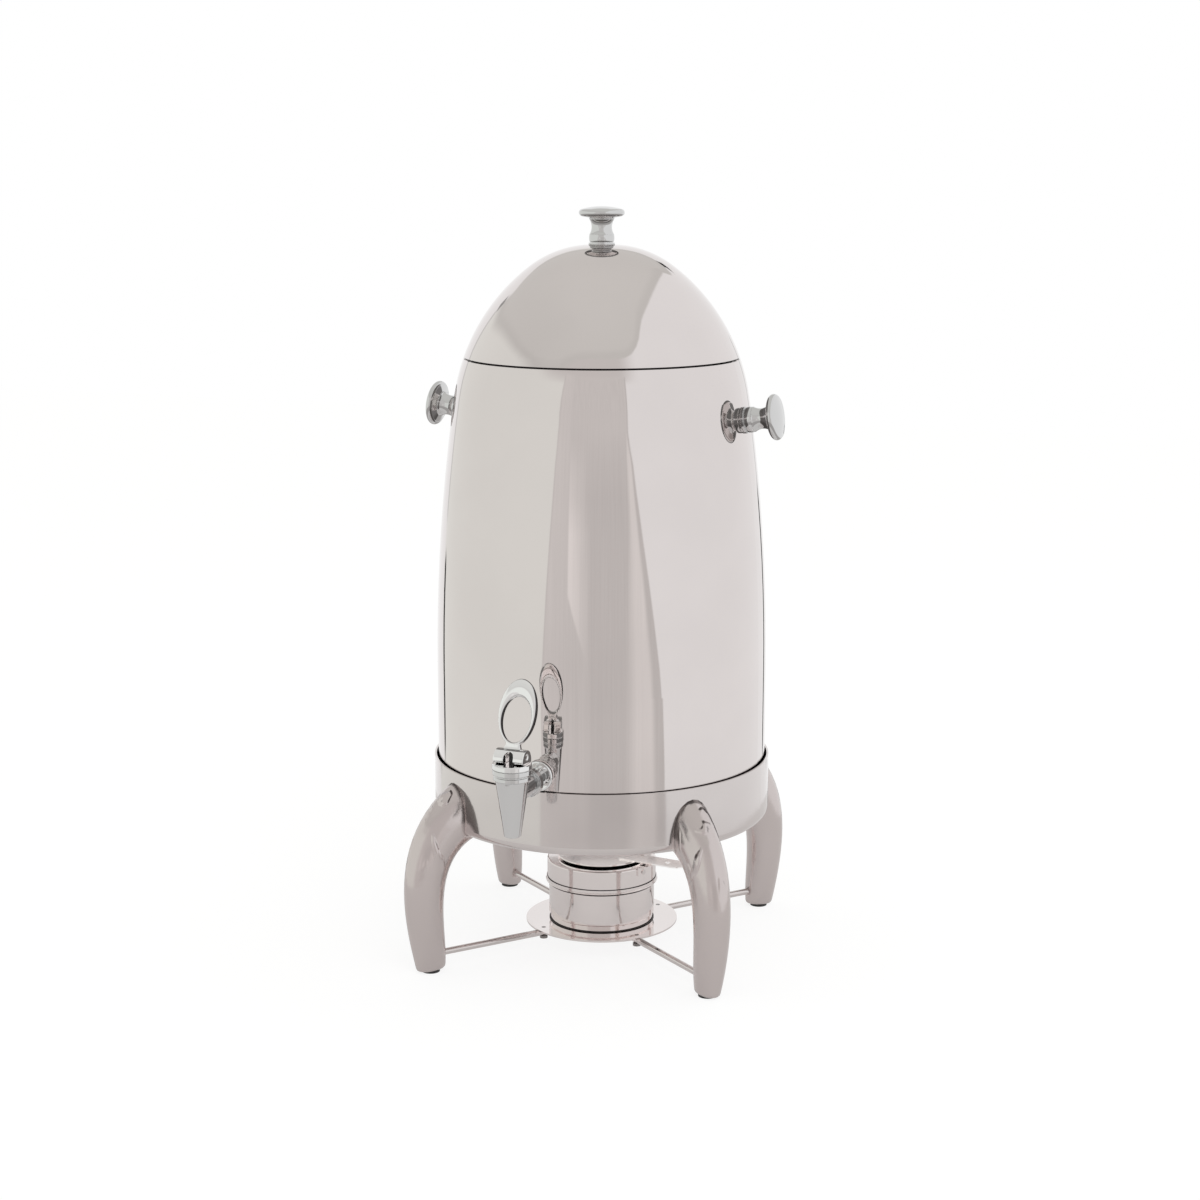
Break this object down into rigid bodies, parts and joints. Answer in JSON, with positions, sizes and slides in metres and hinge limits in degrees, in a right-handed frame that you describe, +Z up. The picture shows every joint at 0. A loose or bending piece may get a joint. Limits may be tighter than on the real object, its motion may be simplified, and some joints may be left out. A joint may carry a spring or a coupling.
{
  "type": "coffee urn",
  "caption": "Polished steel coffee urn: lift-out vessel with lid and lever faucet, in a ring stand on horn legs over a covered fuel burner.",
  "frame": {"origin": "on the surface that the urn stands on, on the vessel's vertical axis", "axes": "+Z up, the faucet points along -Y, the two side knobs lie along -X and +X"},
  "size_m": [0.335, 0.3866, 0.6718],
  "materials": {
    "mirror_steel": "mirror-polished stainless steel",
    "stand_steel": "polished stainless steel, slightly softer than the vessel",
    "burner_steel": "bright sheet steel",
    "plain_steel": "plain drawn steel",
    "chrome": "bright chrome",
    "black_rubber": "matt black rubber",
    "silicone": "matt food-grade silicone"
  },
  "bodies": {
    "stand": {"base_ring": "stand_steel", "leg_front_left": "stand_steel", "leg_front_right": "stand_steel", "leg_back_right": "stand_steel", "leg_back_left": "stand_steel", "foot_pads": "black_rubber", "leg_screws": "plain_steel", "rod_front_left": "plain_steel", "rod_front_right": "plain_steel", "rod_back_right": "plain_steel", "rod_back_left": "plain_steel", "rod_screws": "plain_steel", "burner_plate": "burner_steel"},
    "fuel_holder": {"fuel_cup": "burner_steel"},
    "holder_cover": {"fuel_cover": "burner_steel", "damper_bracket": "burner_steel", "bracket_rivet": "plain_steel", "damper_pivot": "plain_steel"},
    "damper": {"damper_plate": "burner_steel", "damper_handle": "burner_steel"},
    "vessel": {"vessel_wall": "mirror_steel", "vessel_bottom": "plain_steel", "vessel_rim": "mirror_steel", "handle_left": "chrome", "handle_right": "chrome", "handle_washers": "plain_steel", "handle_screws": "plain_steel", "faucet_shank": "chrome", "outer_seal": "black_rubber", "inner_seal": "black_rubber", "lock_nut": "chrome", "faucet_body": "chrome", "bonnet": "chrome", "bonnet_seal": "black_rubber", "closing_spring": "plain_steel"},
    "stem": {"valve_stem": "plain_steel", "seat_cup": "silicone"},
    "lever": {"lever": "chrome", "lever_pin": "plain_steel"},
    "lid": {"lid_shell": "mirror_steel", "lid_collar": "mirror_steel", "lid_knob": "chrome", "knob_washer": "plain_steel", "knob_screw": "plain_steel"}
  },
  "joints": [
    {"name": "vessel_lift", "type": "slide", "parent": "stand", "child": "vessel", "axis": [0, 0, 1], "range_m": [0, 0.2]},
    {"name": "lid_lift", "type": "slide", "parent": "vessel", "child": "lid", "axis": [0, 0, 1], "range_m": [0, 0.2]},
    {"name": "stem_lift", "type": "slide", "parent": "vessel", "child": "stem", "axis": [0, 0, 1], "range_m": [0, 0.003], "stiffness_N_per_m": 800, "springref_m": -0.004, "deforming": ["closing_spring"]},
    {"name": "lever_tilt", "type": "hinge", "parent": "stem", "child": "lever", "pos_m": [0, -0.208, 0.226], "axis": [1, 0, 0], "range_deg": [0, 45]},
    {"name": "cup_lift", "type": "slide", "parent": "stand", "child": "fuel_holder", "axis": [0, 0, 1], "range_m": [0, 0.012]},
    {"name": "cover_lift", "type": "slide", "parent": "fuel_holder", "child": "holder_cover", "axis": [0, 0, 1], "range_m": [0, 0.024]},
    {"name": "damper_swing", "type": "hinge", "parent": "holder_cover", "child": "damper", "pos_m": [0.0393, 0.0045, 0.0796], "axis": [0, 0, 1], "range_deg": [0, 110]}
  ],
  "couplings": [
    {"joint": "lever_tilt", "follows": "stem_lift", "rad_per_m": 261.8}
  ]
}
